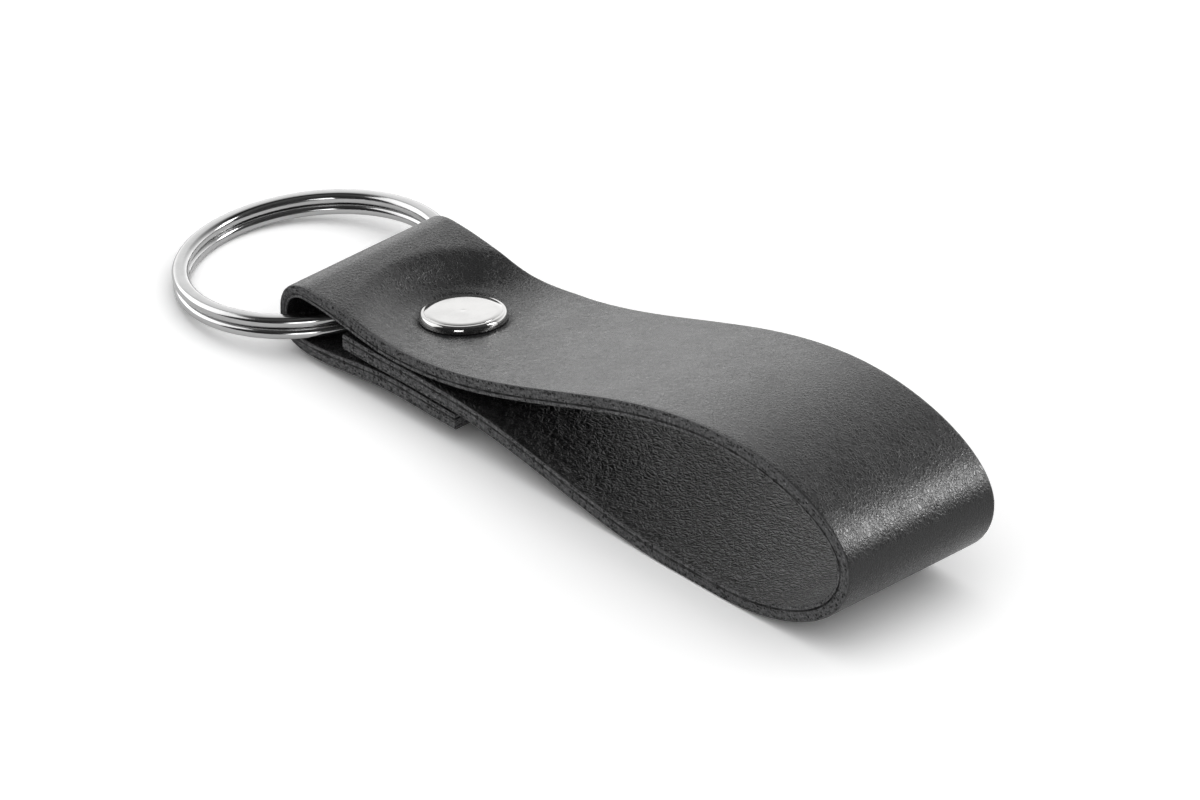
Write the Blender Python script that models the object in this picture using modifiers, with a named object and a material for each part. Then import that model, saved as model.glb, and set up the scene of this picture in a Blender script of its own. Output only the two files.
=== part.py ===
"""Loop key ring: a two-ply leather strap, folded round a split ring and riveted into a finger loop.

X runs along the strap from the ring to the loop, Y across it, Z up from the table.
The origin is on the table, under the middle of the whole object.
"""
import math

import bmesh
import bpy
from mathutils import Matrix, Vector
from mathutils.geometry import interpolate_bezier

NAME = "loop_key_ring"
MM = 0.001

# Leather strap
STRAP_WIDTH = 21.0 * MM
OUTER_PLY = 1.3 * MM
LINING_PLY = 0.5 * MM
BOND_LINE = 0.1 * MM
EDGE_BEVEL = 0.15 * MM

# The three layers that the rivet holds, from the table up: tail, loop bottom, loop top
TAIL_LIFT = 2.05 * MM
LAYER_GAP = 0.2 * MM
SQUEEZE = 0.82            # leather's thickness under the caps, as a share of its full one
PINCH_REACH = 9.4 * MM  # from the rivet's axis to where the leather is level again
PINCH_MARGIN = 1.0 * MM   # pressed flat this far past the caps

# Strap route: along X from the rivet's axis, and up from the table
RING_END_SETBACK = 7.65 * MM
RAMP_START = 7.5 * MM
FLOOR_START = 43.5 * MM
FLOOR_LENGTH = 6.0 * MM
LOOP_REACH = 70.0 * MM
LOOP_NOSE_HEIGHT = 11.4 * MM
LOOP_HEIGHT = 20.2 * MM
CREST_SETBACK = 18.0 * MM
TAIL_LENGTH = 9.85 * MM

# Small fold that holds the ring, with the leather skived thinner there
FOLD_REACH = 17.6 * MM
FOLD_TOP = 9.15 * MM
FOLD_NOSE_HEIGHT = 5.0 * MM
FOLD_UNDERSIDE = 1.0 * MM
FOLD_TOP_SETBACK = 4.0 * MM
FOLD_BOTTOM_SETBACK = 4.0 * MM
SKIVE = 0.85
SKIVE_NOSE = 0.7

# Double-cap rivet, set a little off square
CAP_RADIUS = 4.77 * MM
CAP_SHOULDER = 0.45 * MM
CAP_HEIGHT = 0.9 * MM
CAP_SHEET = 0.2 * MM
CAP_LIP = 0.7 * MM
FLANGE_SHEET = 0.2 * MM
SHEET_GAP = 0.1 * MM
SEAT_GAP = 0.15 * MM
POST_RADIUS = 1.25 * MM
POST_WALL = 0.45 * MM
SOCKET_WALL = 0.35 * MM
SOCKET_REACH = 3.4 * MM
SHANK_GAP = 0.2 * MM
RIVET_PITCH = math.radians(8.8)
RIVET_ROLL = math.radians(4.5)

# Split ring: one rounded wire wound twice
RING_RADIUS = 15.0 * MM
RING_BAND = 1.5 * MM
WIRE_HEIGHT = 1.25 * MM
WIRE_CORNER = 0.5 * MM
COIL_GAP = 0.1 * MM
STEP_ANGLE = math.radians(16)
END_GAP_ANGLE = math.radians(3)
RING_SETBACK = 23.8 * MM
RING_PITCH = math.radians(7.4)
RING_ROLL = math.radians(1.8)
PIVOT_INSET = 2.6 * MM
TABLE_GAP = 0.03 * MM

# Fineness of the meshes
FINE_STEP = 1.35 * MM
COARSE_STEP = 5.0 * MM
FACET_TURN = math.radians(12)
CURVE_SAMPLES = 240
ACROSS = (0.0, 0.25, 0.5, 0.67, 0.84, 1.0)
ROUND_SIDES = 36
RING_SIDES = 44
CORNER_STEPS = 4
MERGE = 0.01 * MM

LAYER_PITCH = OUTER_PLY + BOND_LINE + LINING_PLY + LAYER_GAP
OUTER_SIDE = OUTER_PLY + BOND_LINE / 2
LINING_SIDE = LINING_PLY + BOND_LINE / 2
CAP_FLAT_RADIUS = CAP_RADIUS - CAP_SHOULDER
LEAN = math.acos(math.cos(RIVET_PITCH) * math.cos(RIVET_ROLL))
SQUEEZED_LAYER = (OUTER_PLY + LINING_PLY) * SQUEEZE + BOND_LINE
GRIP = 3 * SQUEEZED_LAYER + 2 * LAYER_GAP
CAP_SEAT = GRIP * math.cos(LEAN) / 2 + SEAT_GAP
RIVET_MIDDLE = (CAP_SEAT + CAP_HEIGHT - CAP_SHOULDER) * math.cos(LEAN) + CAP_SHOULDER \
    + CAP_FLAT_RADIUS * math.sin(LEAN) + TABLE_GAP
FLANGE_LOW = CAP_SHEET + SHEET_GAP
FLANGE_HIGH = FLANGE_LOW + FLANGE_SHEET
FLANGE_RADIUS = CAP_RADIUS - CAP_SHEET - 2 * SHEET_GAP
SOCKET_BORE = POST_RADIUS + SHANK_GAP
SOCKET_RADIUS = SOCKET_BORE + SOCKET_WALL
HOLE_RADIUS = SOCKET_RADIUS + SHANK_GAP
COIL_RISE = WIRE_HEIGHT + COIL_GAP
RING_HALF_HEIGHT = COIL_RISE / 2 + WIRE_HEIGHT / 2
RING_TILT = Matrix.Rotation(-RING_PITCH, 4, "Y") @ Matrix.Rotation(RING_ROLL, 4, "X")


def reach_of_ring(direction):
    """How far the tilted ring reaches from its centre along a world direction."""
    level = RING_TILT.to_3x3().inverted() @ Vector(direction)
    flat = math.hypot(level.x, level.y)
    return (RING_RADIUS - WIRE_CORNER) * flat + (RING_HALF_HEIGHT - WIRE_CORNER) * abs(level.z) + WIRE_CORNER


# The rivet's axis stands where it centres the whole object on the origin
RIVET_X = (RING_SETBACK + reach_of_ring((-1, 0, 0)) - LOOP_REACH) / 2
RING_CENTRE = Vector((RIVET_X - RING_SETBACK, 0, reach_of_ring((0, 0, -1)) + TABLE_GAP))


def new_object(name, data, collection):
    made = bpy.data.objects.new(name, data)
    collection.objects.link(made)
    return made


def material(name, colour, roughness, metallic):
    made = bpy.data.materials.new(name)
    made.use_nodes = True
    shader = made.node_tree.nodes["Principled BSDF"]
    shader.inputs["Base Color"].default_value = (*colour, 1.0)
    shader.inputs["Roughness"].default_value = roughness
    shader.inputs["Metallic"].default_value = metallic
    return made


def guide(piece):
    """Marks a cutter or a profile as no part of the model."""
    piece.hide_render = True
    piece.display_type = "WIRE"


def route_knots():
    """Bond line from the strap's ring end to its tail: x, z, heading, handle share, thickness share."""
    tail = TAIL_LIFT + OUTER_SIDE
    middle = tail + LAYER_PITCH
    top = TAIL_LIFT + 2 * LAYER_PITCH + LINING_SIDE
    fold_side = OUTER_PLY * SKIVE + BOND_LINE / 2
    nose_side = OUTER_PLY * SKIVE_NOSE + BOND_LINE / 2
    right, up, left, down = (1, 0), (0, 1), (-1, 0), (0, -1)
    return [
        (-RING_END_SETBACK, middle, right, 0.33, 1.0),
        (RAMP_START, middle, right, 0.36, 1.0),
        (FLOOR_START, OUTER_SIDE, right, 0.33, 1.0),
        (FLOOR_START + FLOOR_LENGTH, OUTER_SIDE, right, 0.56, 1.0),
        (LOOP_REACH - OUTER_SIDE, LOOP_NOSE_HEIGHT, up, 0.54, 1.0),
        (LOOP_REACH - CREST_SETBACK, LOOP_HEIGHT - OUTER_SIDE, left, 0.34, 1.0),
        (0.0, top, left, 0.36, 1.0),
        (FOLD_TOP_SETBACK - FOLD_REACH, FOLD_TOP - fold_side, left, 0.6, SKIVE),
        (nose_side - FOLD_REACH, FOLD_NOSE_HEIGHT, down, 0.7, SKIVE_NOSE),
        (FOLD_BOTTOM_SETBACK - FOLD_REACH, FOLD_UNDERSIDE + fold_side, right, 0.36, SKIVE),
        (0.0, tail, right, 0.33, 1.0),
        (TAIL_LENGTH, tail, right, 0.33, 1.0),
    ]


def layer_of(stretch):
    """Layer at the rivet that a stretch between two knots belongs to, counted from the table."""
    if stretch < 3:
        return 1
    return 2 if stretch < 8 else 0


def handle(knot, other, share):
    """A knot's handle towards the other knot, along its own heading."""
    span = Vector(other[:2]) - Vector(knot[:2])
    heading = Vector(knot[2])
    return heading * abs(span.dot(heading)) * share


def route():
    """Fine samples of the whole route: place, thickness share and layer."""
    samples = []
    knots = route_knots()
    for stretch, (start, end) in enumerate(zip(knots, knots[1:])):
        first = Vector(start[:2])
        last = Vector(end[:2])
        share = start[3]
        leaving = first + handle(start, end, share)
        arriving = last - handle(end, start, share)
        points = interpolate_bezier(first, leaving, arriving, last, CURVE_SAMPLES)
        for step, point in enumerate(points[:-1]):
            thickness = start[4] + (end[4] - start[4]) * step / (CURVE_SAMPLES - 1)
            samples.append((point, thickness, layer_of(stretch)))
    samples.append((Vector(knots[-1][:2]), knots[-1][4], layer_of(len(knots) - 2)))
    return samples


def stations():
    """The route thinned to facets, closer together round the rivet: place, outward side, thickness, layer."""
    samples = route()
    headings = [(after[0] - before[0]).normalized() for before, after in zip(samples, samples[1:])]
    kept = [0]
    for index in range(1, len(samples) - 1):
        point = samples[index][0]
        gone = (point - samples[kept[-1]][0]).length
        longest = FINE_STEP if abs(point.x) < PINCH_REACH + FINE_STEP else COARSE_STEP
        turned = abs(headings[kept[-1]].angle_signed(headings[index], 0.0))
        if gone > longest or turned > FACET_TURN:
            kept.append(index)
    kept.append(len(samples) - 1)
    found = []
    for index in kept:
        along = headings[max(index - 1, 0)] + headings[min(index, len(headings) - 1)]
        point, thickness, layer = samples[index]
        found.append((point, Vector((along.y, -along.x)).normalized(), thickness, layer))
    return found


def seat_height(x, y, height):
    """Height here of a plane square to the leaning rivet that crosses its axis at the given height."""
    return height + x * math.tan(RIVET_PITCH) - y * math.tan(RIVET_ROLL) / math.cos(RIVET_PITCH)


def bond_seat(layer):
    """Height at the rivet's axis of a squeezed layer's bond line."""
    underside = RIVET_MIDDLE - GRIP / 2 + layer * (SQUEEZED_LAYER + LAYER_GAP)
    lower_ply = LINING_PLY if layer == 2 else OUTER_PLY
    return underside + lower_ply * SQUEEZE + BOND_LINE / 2


def pinch(x, y):
    """Share of the rivet's pressing that the leather takes here: 1 under the caps, 0 past its reach."""
    flat = CAP_RADIUS + PINCH_MARGIN
    share = (PINCH_REACH - math.hypot(x, y)) / (PINCH_REACH - flat)
    share = min(max(share, 0.0), 1.0)
    return share * share * (3 - 2 * share)


def ply(name, side, thickness, finish, collection):
    """One ply: an open sheet along the bond line, pressed at the rivet, made solid towards its own side."""
    rows = [-row for row in reversed(ACROSS[1:])] + list(ACROSS)
    build = bmesh.new()
    shares = []
    grid = []
    for place, outward, share, layer in stations():
        line = []
        offset = outward * side * BOND_LINE / 2
        for row in rows:
            x = place.x + offset.x
            y = row * STRAP_WIDTH / 2
            z = place.y + offset.y
            pressed = pinch(x, y)
            seat = seat_height(x, y, bond_seat(layer) + offset.y)
            line.append(build.verts.new((RIVET_X + x, y, z + (seat - z) * pressed)))
            shares.append(share + (SQUEEZE - share) * pressed)
        grid.append(line)
    for line, following in zip(grid, grid[1:]):
        for left in range(len(rows) - 1):
            build.faces.new((line[left], line[left + 1], following[left + 1], following[left]))
    mesh = bpy.data.meshes.new(name)
    build.to_mesh(mesh)
    build.free()
    mesh.materials.append(finish)
    sheet = new_object(name, mesh, collection)
    group = sheet.vertex_groups.new(name="thickness")
    for index, share in enumerate(shares):
        group.add([index], share, "REPLACE")
    solid = sheet.modifiers.new("thickness", "SOLIDIFY")
    solid.thickness = thickness
    solid.offset = side
    solid.use_even_offset = True
    solid.vertex_group = group.name
    return sheet


def round_edges(piece, width):
    bevel = piece.modifiers.new("worn edges", "BEVEL")
    bevel.width = width
    bevel.segments = 1
    bevel.limit_method = "ANGLE"
    bevel.angle_limit = math.radians(50)


def cut(piece, cutter):
    hole = piece.modifiers.new("rivet hole", "BOOLEAN")
    hole.operation = "DIFFERENCE"
    hole.solver = "EXACT"
    hole.object = cutter


def rivet_hole(axis, collection):
    """Cutter for the hole through all three layers."""
    build = bmesh.new()
    bmesh.ops.create_cone(build, cap_ends=True, segments=ROUND_SIDES, radius1=HOLE_RADIUS,
                          radius2=HOLE_RADIUS, depth=2 * (CAP_SEAT + CAP_HEIGHT))
    mesh = bpy.data.meshes.new("rivet_hole")
    build.to_mesh(mesh)
    build.free()
    cutter = new_object("rivet_hole", mesh, collection)
    cutter.parent = axis
    guide(cutter)
    return cutter


def turned(name, profile, axis, finish, collection):
    """A piece turned about the rivet's axis from (radius, height) points that run down its outer side."""
    build = bmesh.new()
    points = [build.verts.new((radius, 0, height)) for radius, height in profile]
    for start, end in zip(points, points[1:]):
        build.edges.new((start, end))
    if profile[0][0] > 0:
        build.edges.new((points[-1], points[0]))
    mesh = bpy.data.meshes.new(name)
    build.to_mesh(mesh)
    build.free()
    mesh.materials.append(finish)
    piece = new_object(name, mesh, collection)
    piece.parent = axis
    screw = piece.modifiers.new("turn", "SCREW")
    screw.axis = "Z"
    screw.steps = ROUND_SIDES
    screw.render_steps = ROUND_SIDES
    screw.use_merge_vertices = True
    screw.merge_threshold = MERGE
    screw.use_smooth_shade = True
    return piece


def quarter(radius, height, round_radius, start, end):
    """Points of a quarter round in a profile, about a centre at a radius and height."""
    angles = [math.radians(start + (end - start) * step / CORNER_STEPS) for step in range(CORNER_STEPS + 1)]
    return [(radius + round_radius * math.cos(a), height + round_radius * math.sin(a)) for a in angles]


def cap_profile():
    """Pressed sheet cap above its seat: rounded shoulder, and a lip turned in under the flange."""
    shoulder_height = CAP_HEIGHT - CAP_SHOULDER
    inside = CAP_RADIUS - CAP_SHEET
    lip_end = CAP_RADIUS - CAP_LIP
    outer = [(0.0, CAP_HEIGHT)] + quarter(CAP_FLAT_RADIUS, shoulder_height, CAP_SHOULDER, 90, 0)
    lip = [(CAP_RADIUS, CAP_SHEET / 2), (inside, 0.0), (lip_end, 0.0), (lip_end, CAP_SHEET), (inside, CAP_SHEET)]
    inner = quarter(CAP_FLAT_RADIUS, shoulder_height, CAP_SHOULDER - CAP_SHEET, 0, 90)
    return outer + lip + inner + [(0.0, CAP_HEIGHT - CAP_SHEET)]


def tube_profile(radius, bore, reach):
    """Flange in its cap with a tube that reaches back past the seat, through the leather."""
    return [(bore, FLANGE_HIGH), (FLANGE_RADIUS, FLANGE_HIGH), (FLANGE_RADIUS, FLANGE_LOW),
            (radius, FLANGE_LOW), (radius, -reach), (bore, -reach)]


def upper(profile):
    """A profile that stands on the seat of the top cap."""
    return [(radius, CAP_SEAT + height) for radius, height in profile]


def lower(profile):
    """The same profile hung upside down from the seat of the bottom cap."""
    return [(radius, -CAP_SEAT - height) for radius, height in reversed(profile)]


def wire_place(turn):
    """Place on the split ring's wire after this much turn, in the ring's own level frame."""
    climb = (turn - (2 * math.pi - STEP_ANGLE)) / STEP_ANGLE
    climb = min(max(climb, 0.0), 1.0)
    height = COIL_RISE * (climb * climb * (3 - 2 * climb) - 0.5)
    middle = RING_RADIUS - RING_BAND / 2
    return Vector((middle * math.cos(turn), middle * math.sin(turn), height))


def wire_section(collection):
    """Rounded section of the split ring's wire."""
    half_band = RING_BAND / 2 - WIRE_CORNER
    half_height = WIRE_HEIGHT / 2 - WIRE_CORNER
    corners = [(half_band, half_height, 0), (-half_band, half_height, 90),
               (-half_band, -half_height, 180), (half_band, -half_height, 270)]
    points = []
    for x, y, start in corners:
        for step in range(CORNER_STEPS):
            angle = math.radians(start + 90 * step / (CORNER_STEPS - 1))
            points.append((x + WIRE_CORNER * math.cos(angle), y + WIRE_CORNER * math.sin(angle)))
    data = bpy.data.curves.new("wire_section", "CURVE")
    data.dimensions = "2D"
    data.fill_mode = "NONE"
    spline = data.splines.new("POLY")
    spline.points.add(len(points) - 1)
    for point, (x, y) in zip(spline.points, reversed(points)):
        point.co = (x, y, 0, 1)
    spline.use_cyclic_u = True
    section = new_object("wire_section", data, collection)
    guide(section)
    return section


def split_ring(section, finish, collection):
    """One wire wound twice, climbing from the lower coil to the upper one inside the fold."""
    pivot = new_object("ring_pivot", None, collection)
    pivot.location = RING_CENTRE + RING_TILT @ Vector((RING_RADIUS - PIVOT_INSET, 0, 0))
    start = END_GAP_ANGLE
    end = 4 * math.pi - STEP_ANGLE - END_GAP_ANGLE
    step_start = 2 * math.pi - STEP_ANGLE
    steps = 2 * RING_SIDES
    turns = [start + (end - start) * step / steps for step in range(steps + 1)]
    turns += [step_start + STEP_ANGLE * share for share in (0.0, 0.25, 0.5, 0.75, 1.0)]
    turns = sorted(turns)
    turns = [turn for turn, after in zip(turns, turns[1:] + [math.inf]) if after - turn > math.radians(1)]
    data = bpy.data.curves.new("split_ring", "CURVE")
    data.dimensions = "3D"
    data.twist_mode = "Z_UP"
    data.bevel_mode = "OBJECT"
    data.bevel_object = section
    data.use_fill_caps = True
    spline = data.splines.new("POLY")
    spline.points.add(len(turns) - 1)
    for point, turn in zip(spline.points, turns):
        point.co = (*wire_place(turn), 1)
    data.materials.append(finish)
    ring = new_object("split_ring", data, collection)
    ring.parent = pivot
    ring.matrix_local = Matrix.Translation(RING_CENTRE - pivot.location) @ RING_TILT
    return ring


def main():
    for existing in list(bpy.data.objects):
        bpy.data.objects.remove(existing, do_unlink=True)
    model = bpy.data.collections.new(NAME)
    guides = bpy.data.collections.new("guides")
    bpy.context.scene.collection.children.link(model)
    bpy.context.scene.collection.children.link(guides)

    leather = material("grain_leather", (0.022, 0.022, 0.024), 0.5, 0.0)
    lining_leather = material("lining_leather", (0.016, 0.016, 0.017), 0.65, 0.0)
    nickel = material("rivet_nickel", (0.78, 0.77, 0.75), 0.12, 1.0)
    steel = material("ring_steel", (0.72, 0.72, 0.73), 0.1, 1.0)
    brass = material("rivet_brass", (0.62, 0.52, 0.3), 0.3, 1.0)

    axis = new_object("rivet_axis", None, model)
    axis.location = (RIVET_X, 0, RIVET_MIDDLE)
    lean = Matrix.Rotation(-RIVET_PITCH, 4, "Y") @ Matrix.Rotation(-RIVET_ROLL, 4, "X")
    axis.rotation_euler = lean.to_euler()

    outer = ply("strap_outer", 1, OUTER_PLY, leather, model)
    lining = ply("strap_lining", -1, LINING_PLY, lining_leather, model)
    round_edges(outer, EDGE_BEVEL)
    hole = rivet_hole(axis, guides)
    cut(outer, hole)
    cut(lining, hole)

    turned("rivet_top_cap", upper(cap_profile()), axis, nickel, model)
    turned("rivet_bottom_cap", lower(cap_profile()), axis, nickel, model)
    socket = tube_profile(SOCKET_RADIUS, SOCKET_BORE, SOCKET_REACH)
    turned("rivet_socket", upper(socket), axis, brass, model)
    post = tube_profile(POST_RADIUS, POST_RADIUS - POST_WALL, 2 * CAP_SEAT + FLANGE_LOW)
    turned("rivet_post", lower(post), axis, brass, model)

    split_ring(wire_section(guides), steel, model)


main()
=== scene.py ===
"""Loop key ring: leather strap, double-cap rivet and split ring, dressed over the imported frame.

Metres. X runs along the strap from the ring to the finger loop, Y across it, Z up from the table.
"""
import math

import bmesh
import bpy
from mathutils import Euler, Matrix, Vector


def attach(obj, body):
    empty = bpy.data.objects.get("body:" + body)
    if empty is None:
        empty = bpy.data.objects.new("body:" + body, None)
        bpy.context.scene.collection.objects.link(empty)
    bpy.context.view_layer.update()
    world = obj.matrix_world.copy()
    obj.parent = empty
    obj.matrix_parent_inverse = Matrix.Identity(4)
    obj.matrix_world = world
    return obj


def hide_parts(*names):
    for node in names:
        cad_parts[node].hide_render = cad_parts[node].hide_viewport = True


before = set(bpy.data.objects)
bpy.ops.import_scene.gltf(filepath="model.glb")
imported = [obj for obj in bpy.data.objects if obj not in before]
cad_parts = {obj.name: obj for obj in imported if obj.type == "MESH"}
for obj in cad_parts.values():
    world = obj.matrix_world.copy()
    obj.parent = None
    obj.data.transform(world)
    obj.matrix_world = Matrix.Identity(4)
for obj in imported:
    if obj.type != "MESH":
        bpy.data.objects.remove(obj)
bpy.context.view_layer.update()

MM = 0.001

# Strap. Noise scales, here and below, are per metre
STRAP_WIDTH = 21.0 * MM
OUTER_PLY = 1.3 * MM
LINING_PLY = 0.5 * MM
BOND_LINE = 0.1 * MM
GLUE_LINE = 0.06 * MM
LAYER_GAP = 0.2 * MM
GRAIN_CORNER = 0.26 * MM
LINING_CORNER = 0.14 * MM
TRIMMED_CORNER = 0.05 * MM
TRIMMED_ANGLE = math.radians(50)
STATION_STEP = 0.45 * MM
ACROSS_STEP = 0.5 * MM
WAVINESS = 0.05 * MM
KNIFE_WANDER = 0.03 * MM
WAVE_SCALE = 95.0
WAVE_FADE = (2.0 * MM, 5.0 * MM)
KNIFE_SCALE = 900.0
CORNER_SIDES = 6
SECTION_RISES = 5

# Strap route, along X from the rivet's axis and up from the table, as in the frame
TAIL_LIFT = 2.05 * MM
RING_END_SETBACK = 7.65 * MM
RAMP_START = 7.5 * MM
FLOOR_START = 43.5 * MM
FLOOR_LENGTH = 6.0 * MM
LOOP_REACH = 70.0 * MM
LOOP_NOSE_HEIGHT = 11.4 * MM
LOOP_HEIGHT = 20.2 * MM
CREST_SETBACK = 18.0 * MM
TAIL_LENGTH = 9.85 * MM
FOLD_REACH = 17.6 * MM
FOLD_TOP = 9.15 * MM
FOLD_NOSE_HEIGHT = 5.0 * MM
FOLD_UNDERSIDE = 1.0 * MM
FOLD_TOP_SETBACK = 4.0 * MM
FOLD_BOTTOM_SETBACK = 4.3 * MM
SKIVE = 0.85
SKIVE_NOSE = 0.56
ROUTE_RESOLUTION = 64

# Leather pressed by the rivet
RIVET = Vector((-15.6088, 0.0, 4.3006)) * MM
RIVET_PITCH = math.radians(7.9)
RIVET_ROLL = math.radians(4.5)
SQUEEZE = 0.82
RIM_SHARE = 0.3
RIM_RADIUS = 4.9 * MM
RIM_WIDTH = 0.8 * MM
DIP_START = 5.6 * MM
DIP_REACH = 12.5 * MM
FOLD_CROWDING = 1.1
TOP_LAYER_START = 1.32
HOLE_RADIUS = 2.0 * MM
HOLE_SIDES = 64

# Rivet caps
CAP_RADIUS = 4.77 * MM
CAP_HEIGHT = 0.9 * MM
CAP_SHEET = 0.2 * MM
CAP_FLAT_RADIUS = 4.18 * MM
CAP_STEP = 0.035 * MM
CAP_SHOULDER_WIDTH = 0.36 * MM
CAP_SHOULDER_DROP = 0.58 * MM
CAP_LIP = 0.7 * MM
SEAT_GAP = 0.09 * MM
CAP_DIMPLE_RADIUS = 0.45 * MM
CAP_DIMPLE_DEPTH = 0.02 * MM
CAP_DIMPLE_STEPS = 8
CAP_FLAT_STEPS = 6
CAP_STEP_DROP = 1.3 * CAP_STEP
CAP_STEP_ROUNDING = ((0.4, 0.25), (0.7, 1.0))
CAP_CURL_REACH = 1.2
CAP_TURN_STEPS = 160
SHARP_ANGLE = math.radians(40)
WELD_DISTANCE = 0.001 * MM

# Split ring
RING_CENTRE = Vector((-39.4088, 0.0, 3.2443)) * MM
RING_RADIUS = 15.2 * MM
RING_BAND = 1.84 * MM
WIRE_HEIGHT = 1.27 * MM
WIRE_CORNER = 0.62 * MM
WIRE_CORNER_SIDES = 8
WIRE_END_EASE = 0.75
COIL_GAP = 0.04 * MM
STEP_ANGLE = math.radians(16)
END_GAP_ANGLE = math.radians(3)
RING_PITCH = math.radians(7.4)
RING_ROLL = math.radians(1.8)

# Camera that the photograph was taken with
CAMERA_AZIMUTH = math.radians(47.025)
CAMERA_ELEVATION = math.radians(31.795)
CAMERA_TARGET = Vector((5.4422, 0.0, 6.457)) * MM
CAMERA_DISTANCE = 2.0
CAMERA_LENS = 570.4
SENSOR_WIDTH = 36.0
CAMERA_CLIP = (0.01, 50.0)

# Leather grain. Scales are per grain cell
CELL_WANDER_SCALE = 0.45
CELL_WANDER = 2.4
SMALL_CELLS = 2.1
SMALL_CELL_SHARE = 0.45
PORE_SCALE = 2.2
DEPTH_PATCH_SCALE = 0.12
DEPTH_PATCH_SPAN = (0.3, 0.7)
SHALLOW_DEPTH = 0.75

# Leather skin
PORE_DEPTH = 0.12
CREASE_WEAR = 0.6
CREASE_DULLNESS = 0.12
HANDLED_SCALE = 160.0
HANDLED_SPAN = (0.3, 0.75)
HANDLED_DULLNESS = (-0.015, 0.025)
CORNER_COLOUR = (0.02, 0.02, 0.02, 1.0)
BURNISHED_ROUGHNESS = 0.5
PUCKER_DEPTH = 0.12 * MM
PUCKER_DRIFT = 120.0
CUT_FADE = (0.45, 0.95)
END_FADE = (0.6, 0.8)

# Cut edge. Depths are shares of the ply from its glue side to its skin
FIBRE_CONTRAST = (0.32, 0.68)
TUFTS_PER_PIT = 0.9
TUFT_SHARE = 0.6
OUTER_ROW = (0.74, 0.15, 0.06)
INNER_ROW = (0.18, 0.13, 0.04)
INNER_ROW_SHARE = 0.5
PIT_FADE = (0.6, 0.3)
PIT_CHANCE, ROW_PIT_CHANCE = 0.12, 0.6
# Pits in the cut edge are painted dark: painted shade in the recesses
PAINTED_PIT_SHADE = 0.95
PALE_FADE = (0.35, 0.15)
PALE_CHANCE, ROW_PALE_CHANCE = 0.4, 1.6
PALE_SHARE = 0.1
PALE_STRENGTH = 0.8
PALE_COLOUR = (0.34, 0.34, 0.35, 1.0)
DARK_SHARE, BURNISHED_SHARE = 0.06, 0.3
BURNISH_FADE = (0.86, 0.96)
GLUE_FADE = (0.12 * MM, 0.05 * MM)
GLUE_COLOUR = (0.002, 0.002, 0.002, 1.0)
GLUE_PATCH_SCALE = 420.0
GLUE_PATCH_SPAN = (0.4, 0.6)
FAINT_GLUE = 0.45
FOLD_GLUE = 0.3
FOLD_GLUE_FADE = (-31.0 * MM, -26.0 * MM)
CUT_ROUGHNESS = 0.9
CUT_IOR = 1.3
CUT_DEPTH = 0.1 * MM

# Handling wear on plate
HAIRLINE_TURNS = (0.4, 1.5, 2.7)
HAIRLINE_STRETCH = (0.04, 1.0, 1.0)
HAIRLINE_SPAN = (0.62, 0.72)
HAIRLINE_STRENGTH = 0.4
SMEARED_COLOUR = 0.9
SMEAR_COLOUR_SPAN = (0.35, 0.7)
SMEAR_DULLNESS_SPAN = (0.3, 0.75)
SMEAR_DULLNESS = 0.07

# Table: its colour as the camera, matt surfaces and polish see it; from under the loop's nose outward, polish sees
# it darker, as painted shade in its reflections
TABLE_RADIUS = 6.0
TABLE_SIDES = 96
SEEN_TABLE = 1.2
LIT_TABLE = 0.85
MIRRORED_TABLE = (0.88, 0.42)
# Painted shade: the span along X over which the table as polish sees it darkens
MIRRORED_TABLE_SHADE_FADE = (49.0 * MM, 61.0 * MM)

# Studio, in radiance. Spans are of a heading's part up, or of its part away from the camera
WALL_RADIANCE, WALL_SPAN = 1.42, (0.33, 0.84)
SKIRTING_RADIANCE, SKIRTING_SPAN = 0.6, (0.0, 0.36)
FRONT_RADIANCE, FRONT_SPAN = (0.03, 0.12), (-0.6, 0.1)
BACK_SPAN = (-0.15, 0.4)
TENT_AZIMUTH, TENT_ELEVATION = 152.0, 68.0
TENT_FALLOFF, TENT_RADIANCE = 1.7, 1.87
SOFTBOX_DISTANCE = 1.2
LAMP_POWER = 4.0

OUTER_SIDE = OUTER_PLY + BOND_LINE / 2
LINING_SIDE = LINING_PLY + BOND_LINE / 2
LAYER_PITCH = OUTER_PLY + BOND_LINE + LINING_PLY + LAYER_GAP
SQUEEZED_LAYER = (OUTER_PLY + LINING_PLY) * SQUEEZE + BOND_LINE
GRIP = 3 * SQUEEZED_LAYER + 2 * LAYER_GAP
LEAN = math.acos(math.cos(RIVET_PITCH) * math.cos(RIVET_ROLL))
CAP_SEAT = GRIP * math.cos(LEAN) / 2 + SEAT_GAP


# Laying out nodes


def feed(tree, socket, value):
    """Joins an output to a socket, or writes a plain value on it."""
    if isinstance(value, bpy.types.NodeSocket):
        tree.links.new(value, socket)
    else:
        socket.default_value = value


def node(tree, kind, sockets=None, **settings):
    """One node with its settings, its sockets fed by name or number."""
    made = tree.nodes.new(kind)
    for name, value in settings.items():
        setattr(made, name, value)
    for key, value in (sockets or {}).items():
        feed(tree, made.inputs[key], value)
    return made


def calc(tree, operation, *values):
    return node(tree, "ShaderNodeMath", dict(enumerate(values)), operation=operation).outputs[0]


def vector_calc(tree, operation, *values):
    return node(tree, "ShaderNodeVectorMath", dict(enumerate(values)), operation=operation).outputs["Vector"]


def scaled(tree, vector, factor):
    made = node(tree, "ShaderNodeVectorMath", {0: vector, "Scale": factor}, operation="SCALE")
    return made.outputs["Vector"]


def length(tree, vector):
    return node(tree, "ShaderNodeVectorMath", {0: vector}, operation="LENGTH").outputs["Value"]


def dot(tree, one, other):
    return node(tree, "ShaderNodeVectorMath", {0: one, 1: other}, operation="DOT_PRODUCT").outputs["Value"]


def combined(tree, x=0.0, y=0.0, z=0.0):
    return node(tree, "ShaderNodeCombineXYZ", {0: x, 1: y, 2: z}).outputs[0]


def parts_of(tree, vector):
    return node(tree, "ShaderNodeSeparateXYZ", {0: vector}).outputs


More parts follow.
